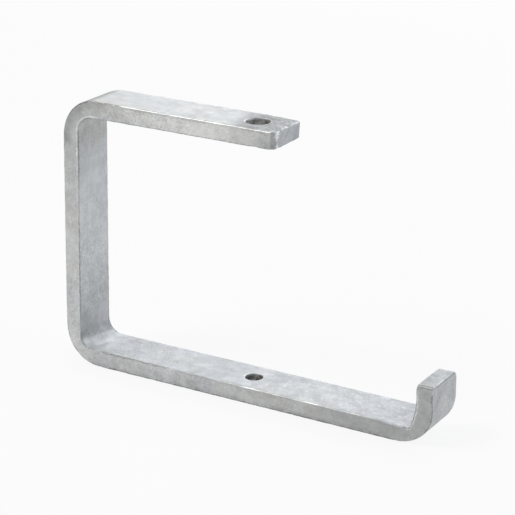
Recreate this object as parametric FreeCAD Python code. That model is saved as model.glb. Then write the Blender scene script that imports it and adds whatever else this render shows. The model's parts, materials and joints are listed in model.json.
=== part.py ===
import FreeCAD, Part
import math
import os

# Open cable hanger bracket: one flat steel bar, bent three times into an open C with a short upturned lip.
# Millimetres. +X runs from the leg to the lip, +Y across the bar, +Z up.
# The origin is on the common axis of both holes, at the underside of the lower arm.

# Flat bar stock
BAR_WIDTH = 30.0
BAR_THICKNESS = 10.0
EDGE_RADIUS = 0.9  # rolled long edges of the bar
END_CORNER_RADIUS = 3.3  # corners of both sheared ends, seen on the flat of the bar

# Space that the bent bar encloses
CLEAR_WIDTH = 212.0  # inner face of the leg to inner face of the lip
CLEAR_HEIGHT = 137.0  # lower arm to upper arm
LIP_RISE = 25.0  # top of the lip above the seat of the lower arm

# Bends
BEND_INNER_RADIUS = 9.0
BEND_THINNING = 1.0  # thickness lost at the middle of a bend, where the outer side is stretched

# Holes
ROD_HOLE_DIAMETER = 13.5
BOLT_HOLE_DIAMETER = 10.0
ROD_HOLE_END_LAND = 12.0  # edge of the rod hole to the free end of the upper arm
HOLE_RIM_RADIUS = 0.5

# Faces of the bent bar
SEAT_Z = BAR_THICKNESS
UPPER_ARM_UNDERSIDE_Z = SEAT_Z + CLEAR_HEIGHT
TOP_Z = UPPER_ARM_UNDERSIDE_Z + BAR_THICKNESS
LIP_TOP_Z = SEAT_Z + LIP_RISE
INNER_X = CLEAR_WIDTH / 2
OUTER_X = INNER_X + BAR_THICKNESS
FREE_END_X = ROD_HOLE_DIAMETER / 2 + ROD_HOLE_END_LAND
FRONT_Y = -BAR_WIDTH / 2

# An outer arc larger than the concentric one takes BEND_THINNING off the bar along the corner's bisector.
BEND_OUTER_RADIUS = BEND_INNER_RADIUS + BAR_THICKNESS + BEND_THINNING / (math.sqrt(2.0) - 1.0)

SMOOTH_ANGLE = math.radians(5.0)  # faces that meet below this angle run on smoothly
TOUCH = 1e-6  # places closer than this are the same


def rounded_outline(corners):
    """Closed wire in the XZ plane at FRONT_Y, from (x, z, radius) corners. A zero radius stays sharp."""
    points = [FreeCAD.Vector(x, FRONT_Y, z) for x, z, _ in corners]
    starts = []
    ends = []
    arcs = []
    for i, corner in enumerate(points):
        radius = corners[i][2]
        back = (points[i - 1] - corner).normalize()
        ahead = (points[(i + 1) % len(points)] - corner).normalize()
        half_angle = back.getAngle(ahead) / 2
        bisector = (back + ahead).normalize()
        starts.append(corner + back * (radius / math.tan(half_angle)))
        ends.append(corner + ahead * (radius / math.tan(half_angle)))
        crown = corner + bisector * (radius / math.sin(half_angle) - radius)
        arcs.append(Part.Arc(starts[i], crown, ends[i]) if radius > 0 else None)
    edges = []
    for i, arc in enumerate(arcs):
        edges.append(Part.LineSegment(ends[i - 1], starts[i]).toShape())
        if arc:
            edges.append(arc.toShape())
    return Part.Wire(edges)


def side_profile():
    """The C seen from the side: the outer path from the free end to the lip, then the inner path back."""
    outer_path = [
        (FREE_END_X, TOP_Z, 0),
        (-OUTER_X, TOP_Z, BEND_OUTER_RADIUS),
        (-OUTER_X, 0, BEND_OUTER_RADIUS),
        (OUTER_X, 0, BEND_OUTER_RADIUS),
        (OUTER_X, LIP_TOP_Z, 0),
    ]
    inner_path = [
        (INNER_X, LIP_TOP_Z, 0),
        (INNER_X, SEAT_Z, BEND_INNER_RADIUS),
        (-INNER_X, SEAT_Z, BEND_INNER_RADIUS),
        (-INNER_X, UPPER_ARM_UNDERSIDE_Z, BEND_INNER_RADIUS),
        (FREE_END_X, UPPER_ARM_UNDERSIDE_Z, 0),
    ]
    return rounded_outline(outer_path + inner_path)


def is_end_corner(edge):
    """True for an edge that runs through the bar's thickness at the free end or at the top of the lip."""
    start = edge.firstVertex().Point
    run = edge.lastVertex().Point - start
    at_free_end = abs(start.x - FREE_END_X) < TOUCH and abs(run.x) < TOUCH
    at_lip_top = abs(start.z - LIP_TOP_Z) < TOUCH and abs(run.z) < TOUCH
    return (at_free_end or at_lip_top) and abs(run.y) < TOUCH


def sharp_edges(solid):
    """Edges where two faces meet at an angle, without the lines where a flat runs on into a bend."""
    found = []
    for edge in solid.Edges:
        middle = edge.valueAt((edge.FirstParameter + edge.LastParameter) / 2)
        faces = solid.ancestorsOfType(edge, Part.Face)
        normals = [face.normalAt(*face.Surface.parameter(middle)) for face in faces]
        if normals[0].getAngle(normals[-1]) > SMOOTH_ANGLE:
            found.append(edge)
    return found


def drill(bar, diameter, bottom_z):
    """A round hole through one arm on the common axis, with both rims eased."""
    foot = FreeCAD.Vector(0, 0, bottom_z)
    drilled = bar.cut(Part.makeCylinder(diameter / 2, BAR_THICKNESS, foot))
    return drilled.makeFillet(HOLE_RIM_RADIUS, sharp_edges(drilled))


def hanger_bar():
    """The whole bracket: bent bar, rounded end corners, rolled edges and the two holes."""
    blank = Part.Face(side_profile()).extrude(FreeCAD.Vector(0, BAR_WIDTH, 0))
    cornered = blank.makeFillet(END_CORNER_RADIUS, [edge for edge in blank.Edges if is_end_corner(edge)])
    rolled = cornered.makeFillet(EDGE_RADIUS, sharp_edges(cornered))
    with_rod_hole = drill(rolled, ROD_HOLE_DIAMETER, UPPER_ARM_UNDERSIDE_Z)
    return drill(with_rod_hole, BOLT_HOLE_DIAMETER, 0)


os.makedirs("parts", exist_ok=True)
hanger_bar().exportStep("parts/hanger_bar.step")
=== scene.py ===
import itertools
import json
import math
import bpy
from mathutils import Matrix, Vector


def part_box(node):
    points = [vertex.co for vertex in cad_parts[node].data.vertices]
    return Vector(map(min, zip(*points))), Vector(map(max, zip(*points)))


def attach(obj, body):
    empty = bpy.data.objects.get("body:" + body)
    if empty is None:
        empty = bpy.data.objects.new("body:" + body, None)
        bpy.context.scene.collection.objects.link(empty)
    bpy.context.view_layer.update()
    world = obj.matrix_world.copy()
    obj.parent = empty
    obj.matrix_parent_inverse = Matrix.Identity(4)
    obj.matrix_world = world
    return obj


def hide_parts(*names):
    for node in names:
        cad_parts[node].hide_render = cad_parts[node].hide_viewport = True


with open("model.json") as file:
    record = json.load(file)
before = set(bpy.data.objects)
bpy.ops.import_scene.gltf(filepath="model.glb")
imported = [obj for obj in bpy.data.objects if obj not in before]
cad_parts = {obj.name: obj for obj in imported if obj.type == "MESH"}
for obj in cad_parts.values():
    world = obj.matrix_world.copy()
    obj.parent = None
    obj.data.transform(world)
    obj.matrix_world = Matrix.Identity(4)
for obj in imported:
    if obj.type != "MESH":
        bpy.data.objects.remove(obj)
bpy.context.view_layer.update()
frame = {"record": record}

from types import SimpleNamespace

import bmesh
import bpy
import numpy as np
from mathutils import Matrix, Vector

# Hot-dip galvanised cable hanger: one flat bar bent into an open C. Metres, +X from leg to lip, +Z up.
# A place on the bar is its station, counted along the bar from the free end, its distance across,
# which is below 0 at the front, and its depth under the outer skin.

MM = 0.001

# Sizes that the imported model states
MOUNTS = {mount["name"]: mount for mount in frame["record"]["mounts"]}
LOW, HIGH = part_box("hanger_bar")
BAR_WIDTH = HIGH.y - LOW.y
BAR_THICKNESS = MOUNTS["tray_seat"]["pos_m"][2] - MOUNTS["underside"]["pos_m"][2]
ROD_HOLE_RADIUS = MOUNTS["rod_hole"]["dims"]["r_mm"] * MM
BOLT_HOLE_RADIUS = MOUNTS["bolt_hole"]["dims"]["r_mm"] * MM
HOLE_RIM_RADIUS = (BAR_THICKNESS - MOUNTS["rod_hole"]["dims"]["length_mm"] * MM) / 2

# Sizes of the bent bar
FREE_END_X = 18.75 * MM
LIP_HEIGHT = 35.0 * MM
BEND_INNER_RADIUS = 9.0 * MM
BEND_THINNING = 1.0 * MM
BEND_OUTER_RADIUS = BEND_INNER_RADIUS + BAR_THICKNESS + BEND_THINNING / (math.sqrt(2) - 1)
EDGE_RADIUS = 0.9 * MM
END_CORNER_RADIUS = 3.3 * MM
LIP_FRONT_CORNER_RADIUS = 1.7 * MM
LIP_BACK_CORNER_RADIUS = 4.4 * MM

# The sheared free end stands back by END_LEAN at its lower edge, and the lean fades out along the bar
END_LEAN = 0.6 * MM
END_LEAN_FADE = 6.0 * MM

# How far the sides stand back: on the runs, and where the outside of a bend is stretched. It comes in
# over BEND_SIDE_FADE along the bar, and from SIDE_BACK_FROM to SIDE_BACK_FULL across it.
RUN_SIDE_BACK = 0.16 * MM
BEND_SIDE_BACK = 0.7 * MM
BEND_SIDE_FADE = 6.0 * MM
SIDE_BACK_FROM = 8.0 * MM
SIDE_BACK_FULL = 14.0 * MM

# Stretch beside a bend in which the cross-sections lean until they stand square to the bar again
LEAN_LENGTH = 5.6 * MM

# Spacing of the surface grid
ALONG_STEP = 0.72 * MM
ACROSS_STEP = 0.85 * MM
CORNER_STEPS = 6
ROUND_STEPS = 4
WALL_STEPS = 9
HOLE_RINGS = 14
MERGE_DISTANCE = 0.002 * MM

OUTER, INNER = 0, 1
FRONT, BACK = -1, 1

# Dents and, below 0, swellings that bending left, in mm: skin, side, station, reach to either side along
# the bar, and depth at that side. Across the bar a dent fades out to DENT_GONE_AT on the other side.
DENTS = [
    (INNER, FRONT, 465.0, 14.0, 0.8),
    (INNER, FRONT, 472.5, 5.0, 1.6),
    (INNER, FRONT, 484.5, 10.0, -1.25),
    (INNER, FRONT, 500.0, 14.0, -0.7),
    (OUTER, FRONT, 494.0, 18.0, 0.9),
    (OUTER, BACK, 500.0, 20.0, 0.6),
]
DENT_FADES_FROM = 14.0
DENT_GONE_AT = -13.0

# Inner radius of each bend at its front edge, in mm. Between the places TIGHT_TO and WIDE_FROM across
# the bar it widens to BEND_INNER_RADIUS.
FRONT_INNER_RADII = [9.0, 6.5, 9.0]
TIGHT_TO, WIDE_FROM = -15.5, -5.0

# Bright beads of zinc along the edges, with painted highlights on them, in mm: edge, first and last
# station, strength, and how far over the flat the bead runs (below 0 over the wall). Elsewhere the strength
# is the faint one below. Beads on the top widen towards the free end, between the stations given below.
BEADS_AND_HIGHLIGHTS = [
    ("outer front", -10, 2, 0.22, 0.4),
    ("outer front", 5, 92, 0.42, 0.15),
    ("outer front", 5, 20, 0.35, 0.9),
    ("outer front", 8, 38, 0.25, 0.15),
    ("outer back", -10, 98, 0.25, 0.15),
    ("inner front", 113, 147, 0.75, -0.9),
    ("inner front", 151, 176, 0.45, -0.9),
    ("inner front", 182, 224, 0.15, -0.9),
    ("inner front", 228, 246, 0.3, -1.4),
    ("inner front", 304, 350, 0.3, 0.6),
    ("inner front", 356, 458, 0.6, 0.0),
    ("inner front", 374, 416, 0.35, 0.0),
    ("inner front", 469, 497, 0.4, -1.3),
    ("outer front", 500, 510, 0.3, -0.5),
    ("outer back", 500, 510, 0.1, -0.5),
]
FAINT_BEAD_AND_HIGHLIGHT = 0.1
BEAD_AND_HIGHLIGHT_HALF_WIDTH = 0.85
FREE_END_BEAD_AND_HIGHLIGHT_HALF_WIDTH = 1.3
BEAD_AND_HIGHLIGHT_WIDENS_OVER = (60, 20)

# Dark lines along the edges, in the same form: partly dark marks in the zinc, partly painted shade under
# the bright beads, on edges turned from the light and along the lower arm's bottom edges. A line or bead
# fades out over MARK_FADE beyond its stations.
MARK_AND_SHADE_LINES = [
    ("outer front", 44, 95, 0.3, -1.2),
    ("outer front", 99, 131, 1.0, 0.0),
    ("outer front", 136, 245, 0.35, 0.0),
    ("outer front", 254, 462, 1.0, -0.4),
    ("outer back", 254, 462, 0.8, -0.4),
    ("outer front", 467, 496, 0.9, 0.0),
    ("outer front", 501, 510, 0.12, 0.5),
    ("outer back", 474, 483, 0.6, 0.5),
    ("outer back", 501, 510, 0.35, 0.5),
    ("inner front", -10, 108, 0.4, -0.3),
    ("inner front", 113, 130, 0.35, 0.4),
    ("inner front", 138, 157, 0.75, 0.85),
    ("inner front", 160, 167, 0.4, 0.7),
    ("inner front", 171, 222, 0.25, 0.5),
    ("inner front", 188, 193, 0.45, 0.2),
    ("inner front", 200, 208, 0.35, 0.2),
    ("inner front", 212, 217, 0.55, 0.0),
    ("inner front", 221, 231, 0.4, 0.0),
    ("inner front", 227, 244, 0.4, 0.1),
    ("inner front", 253, 264, 0.5, 0.9),
    ("inner front", 270, 322, 0.9, 0.1),
    ("inner front", 327, 350, 0.6, 0.0),
    ("inner front", 354, 458, 0.25, 0.0),
    ("inner front", 469, 499, 0.65, -0.2),
    ("inner back", 226, 238, 0.5, 0.6),
    ("inner back", 243, 268, 0.9, 0.6),
    ("inner back", 274, 300, 0.5, 0.6),
    ("inner back", 308, 458, 0.25, 0.4),
]
FAINT_MARK_AND_SHADE_LINE = 0.01
MARK_FADE = 3.5

# How far each face of the bar reaches, in mm: where it is gone and where it is full
OUTER_SKIN_DEPTH = (1.2, 0.2)
INNER_SKIN_DEPTH = (8.8, 9.8)
WALL_FROM_SKIN = (0.3, 1.0)
SIDE_FROM_EDGE = (2.5, 0.8)
SIDE_NEARER_THAN_END = (-0.8, 0.8)
OUTER_HALF_DEPTH = (8.0, 2.0)
OUTER_EDGE_DEPTH = (4.0, 0.5)
OUTER_MARK_DEPTH = (6.0, 4.0)
FRONT_HALF_ACROSS = (11.0, 1.0)
FRONT_EDGE_ACROSS = (0.0, -9.0)
FREE_END_STATION = (1.2, 0.4)
LIP_END_DISTANCE = (1.6, 0.8)

# Paler (above 0) and duller stretches, in mm: face, stations where it begins, is full from, is full to and
# ends, and the shift of tone. Lumps shift these stations by up to half of SHADE_WANDER. Some are the zinc's
# own tone; others are painted light and shade: in the lower bend's inner face, set against its own shading,
# and on the lower arm and lip, whose sides are darker towards the lower edge and towards the lip.
TONES_AND_PAINTED_SHADING = [
    ("all", -20, -10, 20, 31, -0.07),
    ("outer skin", -20, -10, 8, 15, 0.06),
    ("outer skin", 20, 38, 106, 126, 0.14),
    ("outer skin", 30, 100, 106, 126, 0.066),
    ("outer skin", 106, 114, 126, 136, 0.06),
    ("free end", -20, -10, 3, 5, -0.05),
    ("side", 4, 10, 22, 34, 0.05),
    ("side", 4, 48, 66, 108, 0.25),
    ("side", 138, 180, 256, 266, 0.055),
    ("outer half of side", 103, 112, 138, 147, -0.19),
    ("inner skin", 118, 128, 138, 147, -0.055),
    ("inner skin", 132, 142, 156, 168, -0.065),
    ("inner skin", 160, 172, 205, 215, 0.02),
    # Painted light and shade in the lower bend's inner face, set against its own shading
    ("inner skin", 260, 272, 280, 310, 0.07),
    ("front half of inner skin", 257, 262, 266, 270, -0.12),
    ("front half of inner skin", 268, 274, 276, 279.5, 0.22),
    ("back half of inner skin", 271, 276, 279, 285, 0.09),
    ("front edge of inner skin", 260, 265, 277, 283, 0.18),
    ("front edge of inner skin", 277, 281, 290, 300, -0.05),
    ("inner skin", 280, 310, 370, 400, 0.044),
    ("inner skin", 436, 442, 480, 490, -0.03),
    # Painted light and shade on the lower arm and lip: the sides darker towards their lower edge and the
    # lip
    ("side", 262, 270, 276, 284, -0.06),
    ("side", 306, 318, 330, 345, 0.05),
    ("outer half of side", 274, 284, 330, 350, -0.07),
    ("outer edge of side", 270, 284, 410, 470, -0.17),
    ("side", 358, 372, 450, 470, -0.06),
    ("side", 360, 500, 520, 530, -0.19),
    ("all", 360, 500, 520, 530, -0.021),
    ("outer skin", 486, 494, 520, 530, -0.07),
    ("lip end", 490, 495, 520, 530, -0.135),
]
SHADE_WANDER = 3.0

# Painted shade on the rounded corners of the free end, which turn away from the light: shift of tone,
# degrees from the side where it begins, is full from, is full to and ends, and its distance from the skins
# in mm
CORNER_PAINTED_SHADE = -0.2
CORNER_ANGLES = (5, 20, 68, 82)
CORNER_FROM_SKIN = (0.3, 0.9)

# Dull zinc on top of the free end, and painted shade inside the leg's foot, each stopping at a slanting
# line, in mm: the line's station at the middle of the bar, its shift for each mm across, and half the width
# that it fades over
TOP_DULL_LINE = (28.5, 0.4, 4.0)
FOOT_SHADE_LINE = (262.2, 0.2, 1.5)
TOP_DULLING = -0.13

# Painted shade on the leg's foot, darker downwards into the lower bend: stations where a step begins and is
# full, and the shift of tone
FOOT_PAINTED_SHADES = [
    (205, 250, -0.126),
    (250, 256, -0.12),
]

# Painted light on the front corner of the lip's top, and painted shade on the round of that corner where a
# lamp's highlight falls, in mm: distance from the lip's end and place across, each where it is gone and
# where it is full, and the shift of tone
LIP_CORNER_LIGHT_AND_SHADE = [
    ((4.5, 0.8), (-12.0, -13.0), 0.12),
    ((1.3, 0.7), (-13.6, -14.2), -0.1),
]

# How much stronger than EVEN_MOTTLE the mottling is, where pale flakes and fine grit lie in the zinc,
# and how much more ragged the edges are than elsewhere, in the form of the shades
EVEN_MOTTLE = 1.2
MOTTLES = [
    ("outer skin", 16, 34, 106, 126, -0.6),
    ("inner skin", -20, -10, 520, 530, -0.3),
    ("side", 108, 120, 250, 262, -0.24),
    ("side", 250, 262, 350, 362, 0.2),
    ("side", 380, 430, 520, 530, -0.48),
]
FLAKES = [
    ("inner skin", 250, 262, 300, 312, 0.6),
    ("inner skin", 360, 390, 455, 485, 1.0),
]
GRIT = [
    ("side", 36, 60, 92, 126, 0.7),
    ("side", 136, 150, 200, 214, 0.3),
    ("side", 204, 216, 256, 264, 0.5),
    ("inner skin", 165, 180, 205, 215, 0.3),
    ("inner skin", 200, 212, 240, 250, 0.45),
    ("inner skin", 276, 284, 310, 330, 0.45),
]
RAGGEDNESS = [
    ("all", 400, 460, 520, 530, -0.5),
    ("all", -20, -10, 10, 20, 1.2),
]

# Slightly warm (above 0) and cool greys, in the same form: partly the zinc's own tints, partly painted
# light colour, with the sides warmed as by a warm front lamp and the inner skin cooled as by cool light
WARMTHS_AND_LIGHT_TINTS = [
    ("side", -20, -10, 520, 530, 0.5),
    ("side", 0, 8, 60, 100, 0.5),
    ("side", 258, 276, 310, 370, -0.65),
    ("inner skin", -20, -10, 520, 530, -0.8),
    ("inner skin", 118, 126, 139, 150, 1.2),
    ("free end", -20, -10, 3, 5, -1.0),
]

# Crumbs of zinc at the free end, in mm: the stations over which they fade out, their depth on the
# front, and their share there
CRUMB_FADE = (15, 7)
FRONT_CRUMB_DEPTH = (4.5, 1.5)
FRONT_CRUMB_SHARE = 0.6

# Jagged ridge of crystals at the free end, in mm: how far it strays, its half width and its reach along
# the bar, each where it is gone and where it is full, and the heights of lumps where it is broken
# and whole
RIDGE_STRAY = 4.0
RIDGE_HALF_WIDTH = (1.8, 0.8)
RIDGE_REACH = (0.9, 0.2)
RIDGE_WHOLE = (0.26, 0.44)

# Painted shade on the walls of the holes, in mm: distance from the wall and from the skins, each where the
# shade is gone and where it is full. It covers less of the rod hole.
BORE_SHADE_FROM_WALL = (0.35, 0.05)
BORE_SHADE_FROM_SKIN = (0.4, 1.6)
ROD_BORE_SHADE_SHARE = 0.82

# Relief of the zinc coat, in mm: how far the surface sinks between beads and lumps, and how high runs of
# zinc are in the holes and how far they stand out
FACE_SINK = 0.09
WAVE_SINK = 0.06
FINE_WAVE_SINK = 0.03
RAGGED_SINK = 0.2
CRUST_SINK = 0.3
LIP_WEAR = 0.4
BORE_RUN_RELIEF = 0.3
BORE_RUN_RISE = 0.2

# Where the relief lies, in mm: distance from edges, skins, holes and the lip's end, depth and place
# across, each where it is gone and where it is full
FACE_FROM_EDGE = (0.5, 2.0)
RAGGED_FROM_EDGE = (2.0, 0.5)
LIP_WEAR_FROM_EDGE = (2.8, 0.5)
LIP_WEAR_FROM_END = (3.0, 1.2)
LIP_WEAR_DEPTH = (5, 8)
LIP_WEAR_ACROSS = (2, -12)
IN_HOLE = (0.9, 0.2)
BORE_RUN_FROM_SKIN = (0.2, 1.2)

# Shares in the relief: the least sinking of a face, the power that makes deep nicks in the edges rarer,
# the heights of lumps where a crust is whole and pitted, and how coarse crumbs are beside crystals
FACE_LEAST = 0.4
RAGGED_POWER = 1.5
CRUST_PITS = (0.3, 0.7)
CRUMB_COARSENESS = 0.35

# Lumps of zinc: their size in mm, and the seed of their noise
SHADE_LUMPS = (7.0, 3)
FACE_LUMPS = (9.0, 11)
WAVE_LUMPS = (15.0, 12)
FINE_WAVE_LUMPS = (3.2, 13)
RAGGED_LUMPS = (2.3, 14)
CRUST_LUMPS = (1.9, 15)
BORE_RUN_LUMPS = (2.6, 16)
RIDGE_STRAY_LUMPS = (2.0, 21)
RIDGE_BREAK_LUMPS = (1.5, 22)

# Numbers that stir the corners of a lattice into random values
HASH_STEPS = np.array([73856093, 19349663, 83492791])
HASH_SEED_STEP = 40503
HASH_FACTOR = 73244475
FULL_WORD = 0xFFFFFFFF
HALF_WORD = 0xFFFF

# Colours of the zinc, from its dullest to its palest, and of what lies on it: flakes, beads with painted
# highlights, dark lines with painted shade, crystals with painted glints, and painted shade in the holes
DULL_ZINC = (0.258, 0.263, 0.27, 1)
MIDDLE_ZINC = (0.568, 0.58, 0.59, 1)
PALE_ZINC = (0.873, 0.885, 0.895, 1)
FLAKE = (0.86, 0.87, 0.875, 1)
BEAD_AND_HIGHLIGHT = (0.9, 0.9, 0.9, 1)
DARK_MARK_AND_SHADE = (0.17, 0.17, 0.165, 1)
CRYSTAL_AND_GLINT = (0.96, 0.965, 0.97, 1)
BORE_SHADE_DARK = (0.18, 0.172, 0.17, 1)
BORE_SHADE_PALE = (0.6, 0.59, 0.58, 1)
COOL_TINT = (0.988, 1.0, 1.024, 1)
WARM_TINT = (1.012, 1.0, 0.965, 1)

# Tone of the middle colour, mean of the summed mottling, shift that makes the tints even, and how much
# of the zinc each layer covers
MIDDLE_TONE = 0.5
MOTTLE_MEAN = 0.6
TINT_SHIFT = -0.3
FLAKE_COVER = 0.4
BEAD_AND_HIGHLIGHT_COVER = 0.85
RIM_BEAD_AND_HIGHLIGHT_STRENGTH = 0.4
MARK_AND_SHADE_COVER = 0.8
CRYSTAL_AND_GLINT_COVER = 0.9

# Stretch of the noise along the bar, for streaks and for breaks in the marks on the edges
STREAK_STRETCH = (0.16, 1.0, 1.0)
BREAK_STRETCH = (0.5, 1.0, 1.0)

# Shine and fine bumps of the zinc
METALLIC = 0.85
SPECULAR_TINT = (0.7, 0.7, 0.7, 1)
BUMP_STRENGTH = 0.25
BUMP_HEIGHT = 0.6 * MM

# Soft lamps: name, place, width and height, power, colour
LIGHTS = [
    ("key", (-0.75, -0.6, 1.3), (0.7, 0.7), 9.7, (1.0, 0.985, 0.93)),
    ("back", (0.0, 1.75, 0.85), (2.8, 1.3), 21.3, (0.98, 0.99, 1.0)),
    ("right", (1.4, 0.2, 0.7), (0.9, 0.9), 5.3, (0.9, 0.96, 1.0)),
]
LIGHT_AIM = (0.0, 0.0, 0.08)
WORLD_COLOUR = (0.97, 0.99, 1.0, 1)
WORLD_STRENGTH = 0.378


def bar_pieces():
    """Runs and bends of the bar from the free end to the lip, with first station, reach and heading.

    A size is the length of a run or the radius of a bend, first on the outer and then on the inner skin.
    Beside each bend is a lean, whose inner skin starts nearer to the bend's corner and is longer.
    """
    to_square = BEND_OUTER_RADIUS + LEAN_LENGTH
    lean = ("lean", (LEAN_LENGTH, to_square - (BAR_THICKNESS + BEND_INNER_RADIUS)))
    bend = ("bend", (BEND_OUTER_RADIUS, BEND_INNER_RADIUS))
    length = HIGH.x - LOW.x
    height = HIGH.z - LOW.z

    def straight(name, size):
        return (name, (size, size))

    layout = [straight("upper arm", FREE_END_X - LOW.x - to_square), lean, bend]
    layout += [lean, straight("leg", height - 2 * to_square), lean, bend]
    layout += [lean, straight("lower arm", length - 2 * to_square), lean, bend]
    layout += [lean, straight("lip", LIP_HEIGHT - to_square)]

    pieces = []
    start = 0.0
    heading = np.array([-1.0, 0.0])
    for name, sizes in layout:
        reach = math.pi / 2 * sum(sizes) / 2 if name == "bend" else sizes[OUTER]
        pieces.append({"name": name, "start": start, "reach": reach, "sizes": sizes, "heading": heading})
        start += reach
        if name == "bend":
            heading = np.array([-heading[1], heading[0]])
    return pieces, start


# Both holes lie on the axis x = 0
PIECES, BAR_LENGTH = bar_pieces()
BENDS = [piece for piece in PIECES if piece["name"] == "bend"]
LOWER_ARM = next(piece for piece in PIECES if piece["name"] == "lower arm")
ROD_HOLE_STATION = FREE_END_X
BOLT_HOLE_STATION = LOWER_ARM["start"] - LOW.x - BEND_OUTER_RADIUS - LEAN_LENGTH


def skin_path(station, skin):
    """Points (x, z) of one skin at each station, counted from the free end.

    The start point plus what each piece adds once the station has reached it. A run adds its length along
    the heading. A bend of radius R turned by angle a adds R sin(a) along the heading and R (1 - cos(a))
    to its left.
    """
    start_z = HIGH.z - (BAR_THICKNESS if skin == INNER else 0.0)
    points = np.zeros(station.shape + (2,)) + np.array([FREE_END_X, start_z])
    for piece in PIECES:
        share = np.clip((station - piece["start"]) / piece["reach"], 0.0, 1.0)[..., None]
        ahead = piece["heading"]
        size = piece["sizes"][skin]
        if piece["name"] == "bend":
            left = np.array([-ahead[1], ahead[0]])
            angle = share * math.pi / 2
            points += size * (np.sin(angle) * ahead + (1 - np.cos(angle)) * left)
        else:
            points += share * size * ahead
    return points


def rise(low, high, value):
    """0 below low, 1 above high, the smooth curve t t (3 - 2 t) between. Falls where low is above high."""
    share = np.clip((value - low) / (high - low), 0.0, 1.0)
    return share * share * (3 - 2 * share)


def in_bends(station):
    """0 on the runs, 1 in the bends, smooth between."""
    inside = np.zeros(station.shape)
    for bend in BENDS:
        start = bend["start"]
        end = start + bend["reach"]
        begun = rise(start - BEND_SIDE_FADE, start + BEND_SIDE_FADE, station)
        inside += begun * rise(end + BEND_SIDE_FADE, end - BEND_SIDE_FADE, station)
    return inside


def tight_corner(turn, radius):
    """How far a corner of a smaller radius lies outside the arc of BEND_INNER_RADIUS between two flats.

    Counted along the ray from the wide arc's centre at the angle turn. The ray meets the first flat at
    R / cos(turn), the last flat at R / sin(turn), or between them the small arc, whose centre lies
    (R - r) sqrt(2) out on the bisector.
    """
    wide = BEND_INNER_RADIUS
    off_bisector = turn - math.pi / 4
    centre_out = (wide - radius) * math.sqrt(2)
    on_flat = wide / np.maximum(np.cos(turn), np.sin(turn))
    half_chord = np.sqrt(np.maximum(radius**2 - (centre_out * np.sin(off_bisector)) ** 2, 0.0))
    on_arc = centre_out * np.cos(off_bisector) + half_chord
    flat_until = np.arctan((wide - radius) / wide)
    return np.where(np.abs(off_bisector) < math.pi / 4 - flat_until, on_arc, on_flat) - wide


def dent_depth(skin, station, across):
    """How deep one skin is moved into the bar.

    A smooth hump along the bar for each dent, fading out towards the other side, and on the inner skin the
    depth of each bend's tighter corner.
    """
    depth = np.zeros(station.shape)
    for dented, side, centre, reach, size in DENTS:
        if dented == skin:
            hump = rise(reach, 0.0, np.abs(station / MM - centre))
            depth += size * MM * hump * rise(DENT_GONE_AT, DENT_FADES_FROM, side * across / MM)
    if skin == INNER:
        wide = rise(TIGHT_TO, WIDE_FROM, across / MM)
        for bend, front_radius in zip(BENDS, FRONT_INNER_RADII):
            share = np.clip((station - bend["start"]) / bend["reach"], 0.0, 1.0)
            radius = front_radius * MM * (1 - wide) + BEND_INNER_RADIUS * wide
            depth += tight_corner(share * math.pi / 2, radius)
    return depth


def place(station, across, sunk, share):
    """Puts bar coordinates into space: a point between the skins at a station and a distance across.

    It lies at outer + (inner - outer) * depth, where depth is share plus sunk over the thickness at that
    station, and each skin is moved in by its dents. Near a side the point also moves inwards, because
    bending draws the side in outside and swells it inside.
    Returns the points and the bar coordinates (station, across, depth in metres) that the finish follows.
    """
    station, across, sunk, share = np.broadcast_arrays(station, across, sunk, share)
    outer = skin_path(station, OUTER)
    leaning = station + END_LEAN * rise(END_LEAN_FADE, 0.0, station)
    through = skin_path(leaning, INNER) - outer
    thickness = np.linalg.norm(through, axis=-1)
    depth = share + sunk / thickness
    from_inside = depth * dent_depth(INNER, station, across)
    from_outside = (1 - depth) * dent_depth(OUTER, station, across)
    spot = outer + through * (depth + (from_outside - from_inside) / thickness)[..., None]
    in_bend = in_bends(station)
    side_back = RUN_SIDE_BACK * (1 - in_bend) + BEND_SIDE_BACK * in_bend * (1 - depth)
    near_side = rise(SIDE_BACK_FROM, SIDE_BACK_FULL, np.abs(across))
    moved = across - np.sign(across) * near_side * side_back
    points = np.stack([spot[..., 0], moved, spot[..., 1]], axis=-1)
    return points, np.stack([station, across, depth * BAR_THICKNESS], axis=-1)


def across_rows():
    """Rows across the flat of the bar.

    Near each side they follow y = side - r (1 - cos(a)), so that the rounded corners stay round.
    """
    side = BAR_WIDTH / 2 - EDGE_RADIUS
    radius = END_CORNER_RADIUS - EDGE_RADIUS
    turn = np.linspace(0.0, math.pi / 2, CORNER_STEPS + 1)
    near = side - radius * (1 - np.cos(turn))
    count = round(2 * near[-1] / ACROSS_STEP)
    middle = np.linspace(-near[-1], near[-1], count + 1)
    return np.concatenate([-near, middle[1:-1], near[::-1]])


def end_outline(across, front_radius, back_radius):
    """The sheared end in plan: how far the flat stays back from it at each row, and its outward normal.

    Straight in the middle, and a quarter circle of the corner's radius at each side.
    """
    radius = np.where(across < 0, front_radius, back_radius) - EDGE_RADIUS
    straight = BAR_WIDTH / 2 - EDGE_RADIUS - radius
    sine = np.clip((np.abs(across) - straight) / radius, 0.0, 1.0)
    cosine = np.sqrt(1 - sine**2)
    return EDGE_RADIUS + radius * (1 - cosine), cosine, sine * np.sign(across)


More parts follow.
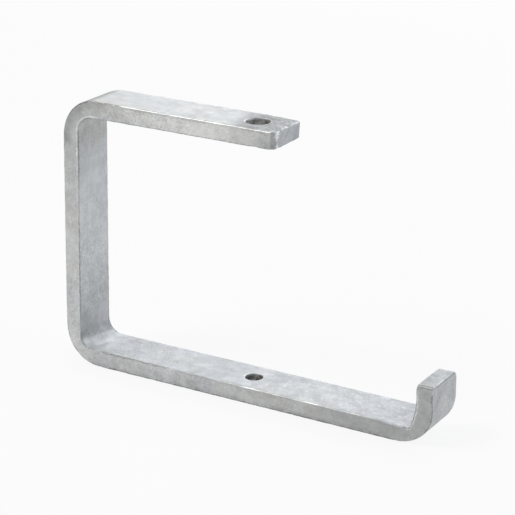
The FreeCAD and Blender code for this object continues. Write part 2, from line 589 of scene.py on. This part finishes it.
def hole_ring(rows, radius):
    """Plan of the square round a hole: a ring of lines from the circle out to the square's edge.

    Point = circle + (edge - circle) * w, with w from 0 to 1 outwards. Returns offsets along and across from
    the axis.
    """
    side = BAR_WIDTH / 2 - EDGE_RADIUS
    steps = np.linspace(-side, side, len(rows))
    edge = np.full(len(rows) - 1, side)
    along = np.concatenate([edge, -steps[:-1], -edge, steps[:-1]])
    across = np.concatenate([rows[:-1], edge, -rows[:-1], -edge])
    angle = np.arctan2(across, along)
    out = np.linspace(0.0, 1.0, HOLE_RINGS + 1)[:, None]
    rim = radius + HOLE_RIM_RADIUS
    ring_along = rim * np.cos(angle) * (1 - out) + along * out
    ring_across = rim * np.sin(angle) * (1 - out) + across * out
    return ring_along, ring_across


def wall_profile(radius):
    """Section of a wall from the outer to the inner skin: quarter round, straight, quarter round.

    Returns three columns: the reach outwards, the distance sunk from the nearer skin, and the skin that
    it counts from.
    """
    turn = np.linspace(0.0, math.pi / 2, ROUND_STEPS + 1)
    reach = radius * np.sin(turn)
    sunk = radius * (1 - np.cos(turn))
    share = np.linspace(0.0, 1.0, WALL_STEPS + 1)
    straight_reach = np.full(WALL_STEPS - 1, radius)
    straight_sunk = radius * (1 - 2 * share[1:-1])
    return (
        np.concatenate([reach, straight_reach, reach[::-1]])[:, None],
        np.concatenate([sunk, straight_sunk, -sunk[::-1]])[:, None],
        np.concatenate([np.zeros(ROUND_STEPS + 1), share[1:-1], np.ones(ROUND_STEPS + 1)])[:, None],
    )


class Surface:
    """Collects grids of points, with the bar coordinates of each point, into one mesh."""

    def __init__(self):
        self.points = []
        self.bar = []
        self.faces = []
        self.count = 0

    def grid(self, station, across, sunk=0.0, share=0.0, closed=False):
        """Adds one grid. Its faces join each point to its neighbours, and a closed grid joins its ends."""
        points, bar = place(station, across, sunk, share)
        rows, columns = points.shape[:2]
        index = self.count + np.arange(rows * columns).reshape(rows, columns)
        if closed:
            index = np.concatenate([index, index[:, :1]], axis=1)
        corners = [index[:-1, :-1], index[:-1, 1:], index[1:, 1:], index[1:, :-1]]
        self.faces.append(np.stack(corners, axis=-1).reshape(-1, 4))
        self.points.append(points.reshape(-1, 3))
        self.bar.append(bar.reshape(-1, 3))
        self.count += rows * columns

    def wall(self, station, across, normal_along, normal_across, radius, closed=False):
        """Adds the wall that stands on an outline of the flat, rounded into both skins."""
        reach, sunk, share = wall_profile(radius)
        self.grid(station + normal_along * reach, across + normal_across * reach, sunk, share, closed)


def steps_between(start, end):
    """Evenly spaced shares from 0 to 1 that make steps of about ALONG_STEP between two stations."""
    return np.linspace(0.0, 1.0, max(2, round((end - start) / ALONG_STEP)) + 1)[:, None]


def bar_surface():
    """The whole bar: both skins in blocks between and round the holes, then the walls on every outline."""
    surface = Surface()
    rows = across_rows()
    side = BAR_WIDTH / 2 - EDGE_RADIUS
    back, end_along, end_across = end_outline(rows, END_CORNER_RADIUS, END_CORNER_RADIUS)
    lip_back, lip_along, lip_across = end_outline(rows, LIP_FRONT_CORNER_RADIUS, LIP_BACK_CORNER_RADIUS)
    holes = [(ROD_HOLE_STATION, ROD_HOLE_RADIUS), (BOLT_HOLE_STATION, BOLT_HOLE_RADIUS)]
    rod_start, rod_end = ROD_HOLE_STATION - side, ROD_HOLE_STATION + side
    bolt_start, bolt_end = BOLT_HOLE_STATION - side, BOLT_HOLE_STATION + side
    blocks = [
        back + (rod_start - back) * steps_between(0.0, rod_start),
        rod_end + (bolt_start - rod_end) * steps_between(rod_end, bolt_start),
        bolt_end + (BAR_LENGTH - lip_back - bolt_end) * steps_between(bolt_end, BAR_LENGTH),
    ]
    for share in (0.0, 1.0):
        for block in blocks:
            surface.grid(block, rows, share=share)
        for station, radius in holes:
            along, across = hole_ring(rows, radius)
            surface.grid(station + along, across, share=share, closed=True)

    beside_hole = np.linspace(-side, side, len(rows))
    for row, sign in ((0, FRONT), (-1, BACK)):
        edge_stations = np.concatenate([
            blocks[0][:-1, row],
            ROD_HOLE_STATION + beside_hole[:-1],
            blocks[1][:-1, row],
            BOLT_HOLE_STATION + beside_hole[:-1],
            blocks[2][:, row],
        ])
        surface.wall(edge_stations, sign * side, 0.0, sign, EDGE_RADIUS)
    surface.wall(back, rows, -end_along, end_across, EDGE_RADIUS)
    surface.wall(BAR_LENGTH - lip_back, rows, lip_along, lip_across, EDGE_RADIUS)
    for station, radius in holes:
        along, across = (plan[0] for plan in hole_ring(rows, radius))
        angle = np.arctan2(across, along)
        surface.wall(station + along, across, -np.cos(angle), -np.sin(angle), HOLE_RIM_RADIUS, closed=True)
    return surface


def closed_mesh(name, surface):
    """One closed mesh from the grids: shared points are merged and every face is turned outwards."""
    mesh = bpy.data.meshes.new(name)
    points = np.concatenate(surface.points)
    mesh.from_pydata(points.tolist(), [], np.concatenate(surface.faces).tolist())
    bar = mesh.attributes.new("bar", "FLOAT_VECTOR", "POINT")
    bar.data.foreach_set("vector", np.concatenate(surface.bar).astype(np.float32).ravel())
    shell = bmesh.new()
    shell.from_mesh(mesh)
    bmesh.ops.remove_doubles(shell, verts=shell.verts, dist=MERGE_DISTANCE)
    bmesh.ops.recalc_face_normals(shell, faces=shell.faces)
    shell.to_mesh(mesh)
    shell.free()
    mesh.polygons.foreach_set("use_smooth", np.ones(len(mesh.polygons), dtype=bool))
    return mesh


def read_vectors(items, name):
    """All vectors of one kind in a mesh, as an array with three columns."""
    found = np.empty(len(items) * 3, dtype=np.float32)
    items.foreach_get(name, found)
    return found.reshape(-1, 3).astype(float)


def lumps(points, size, seed):
    """Smooth noise from 0 to 1: a random value at each corner of a cubic lattice, blended across each cell.

    The size of a cell is in mm, and the value at a corner is a hash of its three indices and the seed.
    """
    spot = points / (size * MM)
    cell = np.floor(spot).astype(np.int64)
    part = spot - cell
    blend = part * part * (3 - 2 * part)
    total = np.zeros(len(points))
    for corner in itertools.product((0, 1), repeat=3):
        key = (cell + corner) @ HASH_STEPS + seed * HASH_SEED_STEP
        for _ in range(2):
            key = ((key ^ (key >> 15)) * HASH_FACTOR) & FULL_WORD
        value = ((key ^ (key >> 16)) & HALF_WORD) / HALF_WORD
        total += value * np.prod(np.where(corner, blend, 1 - blend), axis=1)
    return total


def plan_distance(bar):
    """Distance inwards from the outline of the flat, which is a long rectangle with rounded corners."""
    half_length = BAR_LENGTH / 2 - END_CORNER_RADIUS
    half_width = BAR_WIDTH / 2 - END_CORNER_RADIUS
    along = np.abs(bar[:, 0] - BAR_LENGTH / 2) - half_length
    across = np.abs(bar[:, 1]) - half_width
    past = np.hypot(np.maximum(along, 0), np.maximum(across, 0))
    return END_CORNER_RADIUS - past - np.minimum(np.maximum(along, across), 0)


def skin_distance(bar):
    """Distance from the nearer skin, through the thickness."""
    return np.minimum(bar[:, 2], BAR_THICKNESS - bar[:, 2])


def hole_distance(bar):
    """Distance from the wall of the nearer hole, along the flat."""
    rod = np.hypot(bar[:, 0] - ROD_HOLE_STATION, bar[:, 1]) - ROD_HOLE_RADIUS
    bolt = np.hypot(bar[:, 0] - BOLT_HOLE_STATION, bar[:, 1]) - BOLT_HOLE_RADIUS
    return np.minimum(rod, bolt)


def measure(bar):
    """Bar coordinates, and distances from the lip's end, sides, skins, outline and holes, all in mm."""
    station, across, depth = (column / MM for column in bar.T)
    return SimpleNamespace(
        station=station,
        across=across,
        depth=depth,
        to_lip_end=BAR_LENGTH / MM - station,
        from_side=BAR_WIDTH / 2 / MM - np.abs(across),
        from_skin=skin_distance(bar) / MM,
        from_outline=plan_distance(bar) / MM,
        from_hole=hole_distance(bar) / MM,
    )


def bar_faces(at):
    """How far each point belongs to each face of the bar, from 0 to 1, with smooth crossings between."""
    wall = rise(*WALL_FROM_SKIN, at.from_skin)
    from_end = np.minimum(at.station, at.to_lip_end)
    side = wall * rise(*SIDE_FROM_EDGE, at.from_side) * rise(*SIDE_NEARER_THAN_END, from_end - at.from_side)
    inner_skin = rise(*INNER_SKIN_DEPTH, at.depth)
    front_half = rise(*FRONT_HALF_ACROSS, at.across)
    return {
        "all": np.ones(at.station.shape),
        "outer skin": rise(*OUTER_SKIN_DEPTH, at.depth),
        "inner skin": inner_skin,
        "front edge of inner skin": inner_skin * rise(*FRONT_EDGE_ACROSS, at.across),
        "front half of inner skin": inner_skin * front_half,
        "back half of inner skin": inner_skin * (1 - front_half),
        "side": side,
        "outer half of side": side * rise(*OUTER_HALF_DEPTH, at.depth),
        "outer edge of side": side * rise(*OUTER_EDGE_DEPTH, at.depth),
        "free end": wall * rise(*FREE_END_STATION, at.station),
        "lip end": rise(*LIP_END_DISTANCE, at.to_lip_end),
    }


def stretches(table, faces, station):
    """Sum over a table: each row's amount on its face.

    It rises between the row's first two stations and falls between its last two.
    """
    total = np.zeros(station.shape)
    for face, begins, full_from, full_to, ends, amount in table:
        total += amount * faces[face] * rise(begins, full_from, station) * rise(ends, full_to, station)
    return total


def edge_marks(table, faint, at):
    """Marks along the edges: how strong they are, and each point's distance from the line a mark runs on.

    The distance from an edge counts up from it over the flat and down from it over the wall, in mm. Where
    two marks meet, the line runs at the mean of their distances, weighted by their strengths.
    """
    from_edge = at.from_outline - at.from_skin
    front = (at.across < 0).astype(float)
    outer = rise(*OUTER_MARK_DEPTH, at.depth)
    edges = {
        "outer front": outer * front,
        "outer back": outer * (1 - front),
        "inner front": (1 - outer) * front,
        "inner back": (1 - outer) * (1 - front),
    }
    strength = np.full(at.station.shape, faint)
    runs_at = np.zeros(at.station.shape)
    for edge, start, end, amount, over_flat in table:
        run = rise(start - MARK_FADE, start, at.station) * rise(end + MARK_FADE, end, at.station)
        share = amount * edges[edge] * run
        strength += share
        runs_at += share * over_flat
    return np.clip(strength, 0, 1), from_edge - runs_at / strength


def corner_shade(at):
    """Painted shade on the rounded corners of the free end, fading where they meet the side and the end."""
    radius = END_CORNER_RADIUS / MM
    centre = BAR_WIDTH / 2 / MM - radius
    on_corner = (at.station < radius) & (np.abs(at.across) > centre)
    angle = np.degrees(np.arctan2(radius - at.station, np.abs(at.across) - centre))
    begins, full_from, full_to, ends = CORNER_ANGLES
    on_round = rise(begins, full_from, angle) * rise(ends, full_to, angle)
    return CORNER_PAINTED_SHADE * on_corner * on_round * rise(*CORNER_FROM_SKIN, at.from_skin)


def before_line(at, middle, slant, fade):
    """1 before a slanting line, 0 after it. The line lies at station middle + slant * across."""
    return rise(fade, -fade, at.station - (middle + slant * at.across))


def slanting_shade(at, faces):
    """Dull zinc on top of the free end, painted shade in the leg's foot, each ending at a slanting line."""
    on_top = TOP_DULLING * before_line(at, *TOP_DULL_LINE) * faces["outer skin"]
    foot_painted_shade = sum(amount * rise(begins, full, at.station) for begins, full, amount in FOOT_PAINTED_SHADES)
    return on_top + foot_painted_shade * before_line(at, *FOOT_SHADE_LINE) * faces["inner skin"]


def lip_corner_light_and_shade(at):
    """Painted light and shade summed on the lip top's front corner. Each rises towards the end and the
    front.
    """
    total = np.zeros(at.station.shape)
    for from_end, across, amount in LIP_CORNER_LIGHT_AND_SHADE:
        total += amount * rise(*from_end, at.to_lip_end) * rise(*across, at.across)
    return total * rise(*WALL_FROM_SKIN, at.from_skin)


def crystal_field(points, at):
    """Coarse zinc: a jagged, broken ridge down the front corner of the free end.

    It follows the line where the end runs into its rounded corner, and lumps shift it to either side.
    """
    ridge_at = (END_CORNER_RADIUS - BAR_WIDTH / 2) / MM
    stray = RIDGE_STRAY * (lumps(points, *RIDGE_STRAY_LUMPS) - 0.5)
    whole = rise(*RIDGE_WHOLE, lumps(points, *RIDGE_BREAK_LUMPS))
    from_ridge = np.abs(at.across - ridge_at + stray)
    return whole * rise(*RIDGE_HALF_WIDTH, from_ridge) * rise(*RIDGE_REACH, at.station)


def crumb_field(at, faces):
    """Fine crumbs on the top of the free end and on the upper edge of its front, and grit elsewhere."""
    on_front = rise(*FRONT_CRUMB_DEPTH, at.depth) * (at.across < 0)
    on_end = np.clip(faces["outer skin"] + FRONT_CRUMB_SHARE * on_front, 0, 1)
    return on_end * rise(*CRUMB_FADE, at.station) + stretches(GRIT, faces, at.station)


def finish_fields(points, at, faces):
    """Zinc differences and painted light and shade: a value per point for each kind, and distances in mm.
    """
    wandering = at.station + SHADE_WANDER * (lumps(points, *SHADE_LUMPS) - 0.5)
    tone_and_painted_shading = stretches(TONES_AND_PAINTED_SHADING, faces, wandering) + corner_shade(at)
    tone_and_painted_shading += slanting_shade(at, faces) + lip_corner_light_and_shade(at)
    bead_and_highlight, bead_and_highlight_gap = edge_marks(BEADS_AND_HIGHLIGHTS, FAINT_BEAD_AND_HIGHLIGHT, at)
    line, line_gap = edge_marks(MARK_AND_SHADE_LINES, FAINT_MARK_AND_SHADE_LINE, at)
    widening = faces["outer skin"] * rise(*BEAD_AND_HIGHLIGHT_WIDENS_OVER, at.station)
    half_width = BEAD_AND_HIGHLIGHT_HALF_WIDTH + (FREE_END_BEAD_AND_HIGHLIGHT_HALF_WIDTH - BEAD_AND_HIGHLIGHT_HALF_WIDTH) * widening
    bore_shade = rise(*BORE_SHADE_FROM_WALL, at.from_hole) * rise(*BORE_SHADE_FROM_SKIN, at.from_skin)
    on_upper_arm = at.station < BENDS[0]["start"] / MM
    return {
        "rim": np.abs(at.from_hole) + at.from_skin,
        "bore_shade": bore_shade * np.where(on_upper_arm, ROD_BORE_SHADE_SHARE, 1.0),
        "tone_and_painted_shading": tone_and_painted_shading,
        "mottling": np.maximum(EVEN_MOTTLE + stretches(MOTTLES, faces, at.station), 0),
        "flakes": stretches(FLAKES, faces, at.station),
        "warmth_and_light_tint": stretches(WARMTHS_AND_LIGHT_TINTS, faces, at.station),
        "crystals": crystal_field(points, at),
        "crumbs": crumb_field(at, faces),
        "bead_and_highlight": bead_and_highlight,
        "bead_and_highlight_gap": bead_and_highlight_gap / half_width,
        "line": line,
        "line_gap": line_gap,
    }


def coat_with_zinc(mesh):
    """Sinks the surface by up to a coat's thickness, so that beads and lumps of zinc stand up from it.

    The depth sunk is the sum of even faces, waves, ragged edges, crusts of crystals and the worn edge of
    the lip, most of them shares of their own lumps. Inside the holes only runs of zinc stand out.
    """
    points = read_vectors(mesh.vertices, "co")
    normals = read_vectors(mesh.vertices, "normal")
    at = measure(read_vectors(mesh.attributes["bar"].data, "vector"))
    faces = bar_faces(at)
    fields = finish_fields(points, at, faces)
    from_arris = at.from_outline + at.from_skin
    from_edge = np.minimum(from_arris, fields["rim"])

    unevenness = FACE_LEAST + (1 - FACE_LEAST) * lumps(points, *FACE_LUMPS)
    even_faces = FACE_SINK * rise(*FACE_FROM_EDGE, from_edge) * unevenness
    waves = WAVE_SINK * lumps(points, *WAVE_LUMPS) + FINE_WAVE_SINK * lumps(points, *FINE_WAVE_LUMPS)
    raggedness = RAGGED_SINK * (1 + stretches(RAGGEDNESS, faces, at.station))
    nicks = lumps(points, *RAGGED_LUMPS) ** RAGGED_POWER
    ragged = raggedness * rise(*RAGGED_FROM_EDGE, from_edge) * nicks
    pits = rise(*CRUST_PITS, lumps(points, *CRUST_LUMPS))
    crusts = CRUST_SINK * np.maximum(fields["crystals"], CRUMB_COARSENESS * fields["crumbs"]) * pits
    lip_edge = rise(*LIP_WEAR_FROM_EDGE, from_arris) * rise(*LIP_WEAR_FROM_END, at.to_lip_end)
    lip_worn = LIP_WEAR * lip_edge * rise(*LIP_WEAR_DEPTH, at.depth) * rise(*LIP_WEAR_ACROSS, at.across)
    in_hole = rise(*IN_HOLE, at.from_hole)
    runs = BORE_RUN_RELIEF * lumps(points, *BORE_RUN_LUMPS) - BORE_RUN_RISE
    runs = runs * rise(*BORE_RUN_FROM_SKIN, at.from_skin)
    sunk = (even_faces + waves + ragged + crusts + lip_worn) * (1 - in_hole) + runs * in_hole

    coated = points - normals * (sunk * MM)[:, None]
    mesh.vertices.foreach_set("co", coated.astype(np.float32).ravel())
    for name, values in fields.items():
        field = mesh.attributes.new(name, "FLOAT", "POINT")
        field.data.foreach_set("value", values.astype(np.float32))
    mesh.update()


class Nodes:
    """Adds nodes to one tree. An input is a value, or the output of another node."""

    def __init__(self, tree):
        self.tree = tree

    def add(self, kind, inputs=None, **settings):
        node = self.tree.nodes.new("ShaderNode" + kind)
        for name, value in settings.items():
            setattr(node, name, value)
        for name, value in (inputs or {}).items():
            if isinstance(value, bpy.types.NodeSocket):
                self.tree.links.new(value, node.inputs[name])
            else:
                node.inputs[name].default_value = value
        return node

    def field(self, name):
        """One value for each point of the mesh."""
        return self.add("Attribute", attribute_name=name).outputs["Fac"]

    def noise(self, vector, scale, detail=2.0, roughness=0.5, distortion=0.0):
        inputs = {"Vector": vector, "Scale": scale, "Detail": detail}
        inputs.update({"Roughness": roughness, "Distortion": distortion})
        return self.add("TexNoise", inputs).outputs["Fac"]

    def math(self, operation, first, second=0.0):
        return self.add("Math", {0: first, 1: second}, operation=operation).outputs[0]

    def span(self, value, low, high, to_low=0.0, to_high=1.0, smooth=True):
        """Turns the span from low to high into the one from to_low to to_high, and holds it at its ends."""
        inputs = {"Value": value, "From Min": low, "From Max": high, "To Min": to_low, "To Max": to_high}
        kind = "SMOOTHSTEP" if smooth else "LINEAR"
        return self.add("MapRange", inputs, interpolation_type=kind).outputs["Result"]

    def total(self, *shares):
        """Weighted sum of values."""
        so_far = 0.0
        for value, weight in shares:
            inputs = {0: value, 1: weight, 2: so_far}
            so_far = self.add("Math", inputs, operation="MULTIPLY_ADD").outputs[0]
        return so_far

    def product(self, first, *others):
        for other in others:
            first = self.math("MULTIPLY", first, other)
        return first

    def stretched(self, vector, factors):
        return self.add("VectorMath", {0: vector, 1: factors}, operation="MULTIPLY").outputs[0]

    def blend(self, factor, first, second, mode="MIX"):
        inputs = {"Fac": factor, "Color1": first, "Color2": second}
        return self.add("MixRGB", inputs, blend_type=mode).outputs["Color"]


def zinc_material():
    """Dull hot-dip zinc: soft clouds and blotches, streaks along the bar, and marks laid over each other.

    The marks are pale flakes, bright beads with painted highlights and dark lines with painted shade on the
    edges, crystals with painted glints, and painted shade in the holes' walls. The tone holds painted light
    and shade as well.
    """
    material = bpy.data.materials.new("galvanised_zinc")
    material.use_nodes = True
    tree = material.node_tree
    nodes = Nodes(tree)
    shader = tree.nodes["Principled BSDF"]

    place_on_part = nodes.add("TexCoord").outputs["Object"]
    bar = nodes.add("Attribute", attribute_name="bar").outputs["Vector"]
    long_grain = nodes.stretched(bar, STREAK_STRETCH)
    short_grain = nodes.stretched(bar, BREAK_STRETCH)
    clouds = nodes.noise(place_on_part, scale=42, detail=3, roughness=0.55, distortion=0.4)
    blotches = nodes.noise(place_on_part, scale=170, detail=4, roughness=0.62, distortion=0.25)
    streaks = nodes.noise(long_grain, scale=260, detail=3, roughness=0.6, distortion=0.3)
    grain = nodes.noise(place_on_part, scale=800, detail=2, roughness=0.75)

    # The tone holds random mottling and crumbs, the zinc's own stretches of tone, and painted light and
    # shade
    tone_and_painted_shading = nodes.field("tone_and_painted_shading")
    mottle = nodes.total((clouds, 0.28), (blotches, 0.36), (streaks, 0.16), (grain, 0.4))
    spread = nodes.product(nodes.math("SUBTRACT", mottle, MOTTLE_MEAN), nodes.field("mottling"))
    crumb_noise = nodes.noise(place_on_part, scale=700, detail=2, roughness=0.7)
    crumb_tone = nodes.span(crumb_noise, low=0.3, high=0.7, to_low=-0.5, to_high=0.5, smooth=False)
    crumbs = nodes.product(crumb_tone, nodes.field("crumbs"))
    tone = nodes.total((spread, 1.0), (crumbs, 0.5), (tone_and_painted_shading, 1.0), (MIDDLE_TONE, 1.0))
    ramp = nodes.add("ValToRGB", {"Fac": tone})
    stops = ramp.color_ramp.elements
    stops[0].color = DULL_ZINC
    stops[1].color = PALE_ZINC
    stops.new(MIDDLE_TONE).color = MIDDLE_ZINC
    # The tint holds random patches and painted light colour: warm on the sides, cool on the inner skin
    tint_patches = nodes.noise(place_on_part, scale=60, detail=2)
    warmth_and_light_tint = nodes.total((nodes.field("warmth_and_light_tint"), 0.5), (tint_patches, 1.6), (TINT_SHIFT, 1.0))
    tint = nodes.blend(warmth_and_light_tint, COOL_TINT, WARM_TINT)
    colour = nodes.blend(1.0, ramp.outputs["Color"], tint, mode="MULTIPLY")

    flake_noise = nodes.noise(place_on_part, scale=420, detail=2, roughness=0.6, distortion=0.3)
    flakes = nodes.product(nodes.span(flake_noise, low=0.56, high=0.7), nodes.field("flakes"))
    colour = nodes.blend(nodes.product(flakes, FLAKE_COVER), colour, FLAKE)

    # Bright beads of zinc on the edges and the holes' rims, with painted highlights on them
    rag_noise = nodes.noise(place_on_part, scale=520, detail=2, roughness=0.6)
    rag = nodes.span(rag_noise, low=0.3, high=0.7, to_low=-0.5, to_high=0.5, smooth=False)
    bead_and_highlight_gap = nodes.math("ABSOLUTE", nodes.math("ADD", nodes.field("bead_and_highlight_gap"), rag))
    short_noise = nodes.noise(short_grain, scale=300, detail=3, roughness=0.7)
    short_breaks = nodes.span(short_noise, low=0.32, high=0.58, to_low=0.25)
    long_noise = nodes.noise(short_grain, scale=90, detail=2, roughness=0.5)
    long_breaks = nodes.span(long_noise, low=0.38, high=0.6, to_low=0.45)
    near_bead_and_highlight = nodes.span(bead_and_highlight_gap, low=1.0, high=0.35)
    edge_bead_and_highlight = nodes.product(near_bead_and_highlight, nodes.field("bead_and_highlight"), short_breaks, long_breaks)
    from_rim = nodes.math("ADD", nodes.field("rim"), rag)
    rim_bead_and_highlight = nodes.span(from_rim, low=1.1, high=0.5, to_high=RIM_BEAD_AND_HIGHLIGHT_STRENGTH)
    bead_and_highlight = nodes.math("MAXIMUM", edge_bead_and_highlight, rim_bead_and_highlight)
    colour = nodes.blend(nodes.product(bead_and_highlight, BEAD_AND_HIGHLIGHT_COVER), colour, BEAD_AND_HIGHLIGHT)

    # Dark lines on the edges: partly dark marks in the zinc, partly painted shade
    line_gap = nodes.math("ABSOLUTE", nodes.math("ADD", nodes.field("line_gap"), rag))
    line_noise = nodes.noise(short_grain, scale=330, detail=3, roughness=0.75)
    line_breaks = nodes.span(line_noise, low=0.3, high=0.5, to_low=0.35)
    near_line = nodes.span(line_gap, low=0.85, high=0.3)
    line = nodes.product(near_line, nodes.field("line"), line_breaks)
    colour = nodes.blend(nodes.product(line, MARK_AND_SHADE_COVER), colour, DARK_MARK_AND_SHADE)

    # Pale crystals at the free end, painted near white to stand in for their glints
    crust_noise = nodes.noise(place_on_part, scale=760, detail=2, roughness=0.6, distortion=0.2)
    crust = nodes.product(nodes.span(crust_noise, low=0.36, high=0.5), nodes.field("crystals"))
    colour = nodes.blend(nodes.product(crust, CRYSTAL_AND_GLINT_COVER), colour, CRYSTAL_AND_GLINT)

    # Painted shade in the holes' walls, broken by paler runs of zinc
    runs = nodes.noise(place_on_part, scale=330, detail=3, roughness=0.6)
    bore_shade_colour = nodes.blend(nodes.span(runs, low=0.35, high=0.7), BORE_SHADE_DARK, BORE_SHADE_PALE)
    colour = nodes.blend(nodes.field("bore_shade"), colour, bore_shade_colour)

    tree.links.new(colour, shader.inputs["Base Color"])
    sheen_spots = nodes.span(blotches, low=0.3, high=0.7, to_low=0.57, to_high=0.45, smooth=False)
    roughness = nodes.total((sheen_spots, 1.0), (tone_and_painted_shading, -0.15), (bead_and_highlight, -0.16))
    tree.links.new(roughness, shader.inputs["Roughness"])
    shader.inputs["Metallic"].default_value = METALLIC
    shader.inputs["Specular Tint"].default_value = SPECULAR_TINT
    relief = nodes.total((blotches, 0.6), (grain, 0.4), (crumbs, 0.6), (crust, 2.0))
    bump = nodes.add("Bump", {"Height": relief, "Strength": BUMP_STRENGTH, "Distance": BUMP_HEIGHT})
    tree.links.new(bump.outputs["Normal"], shader.inputs["Normal"])
    return material


def add_camera():
    """Camera at the photograph's viewing angle, aimed at a point near the middle of the bracket."""
    azimuth = math.radians(29.635)
    elevation = math.radians(19.742)
    roll = math.radians(0.930)
    distance = 1.0646
    aim = Vector((1.0 * MM, 0.0, 80.47 * MM))
    focal_px = 1963.03
    image_px = 515
    farthest_seen = 20.0
    back = Vector((
        math.sin(azimuth) * math.cos(elevation),
        -math.cos(azimuth) * math.cos(elevation),
        math.sin(elevation),
    ))
    level_right = Vector((math.cos(azimuth), math.sin(azimuth), 0.0))
    level_up = back.cross(level_right)
    right = level_right * math.cos(roll) + level_up * math.sin(roll)
    up = back.cross(right)
    data = bpy.data.cameras.new("camera")
    data.lens = focal_px / image_px * data.sensor_width
    data.clip_end = farthest_seen
    camera = bpy.data.objects.new("camera", data)
    bpy.context.collection.objects.link(camera)
    turn = Matrix((right, up, back)).transposed().to_4x4()
    camera.matrix_world = Matrix.Translation(aim + back * distance) @ turn
    bpy.context.scene.camera = camera


def add_light(name, place_at, size, power, colour):
    """A soft rectangular lamp aimed at the middle of the bracket."""
    data = bpy.data.lights.new(name, "AREA")
    data.shape = "RECTANGLE"
    data.size, data.size_y = size
    data.energy = power
    data.color = colour
    light = bpy.data.objects.new(name, data)
    bpy.context.collection.objects.link(light)
    light.location = place_at
    light.rotation_euler = (Vector(LIGHT_AIM) - Vector(place_at)).to_track_quat("-Z", "Y").to_euler()


def add_floor():
    """White floor, which can be seen through from below.

    Seen directly or in the zinc it is mostly plain white and a little lit paper, so its shadow stays faint.
    """
    half_size = 6.0
    plain_white_share = 0.86
    paper_colour = (0.85, 0.85, 0.85, 1)
    paper_roughness = 0.9
    corners = [(x * half_size, y * half_size, 0.0) for x, y in ((-1, -1), (1, -1), (1, 1), (-1, 1))]
    mesh = bpy.data.meshes.new("floor")
    mesh.from_pydata(corners, [], [(0, 1, 2, 3)])
    floor = bpy.data.objects.new("floor", mesh)
    bpy.context.collection.objects.link(floor)
    material = bpy.data.materials.new("white_floor")
    material.use_nodes = True
    tree = material.node_tree
    nodes = Nodes(tree)
    paper = tree.nodes["Principled BSDF"]
    paper.inputs["Base Color"].default_value = paper_colour
    paper.inputs["Roughness"].default_value = paper_roughness
    paper.inputs["Specular IOR Level"].default_value = 0.0
    white = nodes.add("Emission", {"Strength": 1.0})
    rays = nodes.add("LightPath")
    seen = nodes.math("MAXIMUM", rays.outputs["Is Camera Ray"], rays.outputs["Is Glossy Ray"])
    share = nodes.math("MULTIPLY", seen, plain_white_share)
    top = nodes.add("MixShader", {"Fac": share, 1: paper.outputs[0], 2: white.outputs[0]})
    clear = nodes.add("BsdfTransparent")
    below = nodes.add("NewGeometry").outputs["Backfacing"]
    both = nodes.add("MixShader", {"Fac": below, 1: top.outputs[0], 2: clear.outputs[0]})
    tree.links.new(both.outputs[0], tree.nodes["Material Output"].inputs["Surface"])
    mesh.materials.append(material)


def add_world():
    """Even pale light from all round."""
    world = bpy.data.worlds.new("studio")
    world.use_nodes = True
    background = world.node_tree.nodes["Background"]
    background.inputs["Color"].default_value = WORLD_COLOUR
    background.inputs["Strength"].default_value = WORLD_STRENGTH
    bpy.context.scene.world = world


mesh = closed_mesh("bent_bar", bar_surface())
coat_with_zinc(mesh)
mesh.materials.append(zinc_material())
bent_bar = bpy.data.objects.new("bent_bar", mesh)
bpy.context.collection.objects.link(bent_bar)
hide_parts("hanger_bar")
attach(bent_bar, "root")

add_camera()
add_floor()
add_world()
for lamp in LIGHTS:
    add_light(*lamp)
bpy.context.scene.view_settings.view_transform = "Standard"
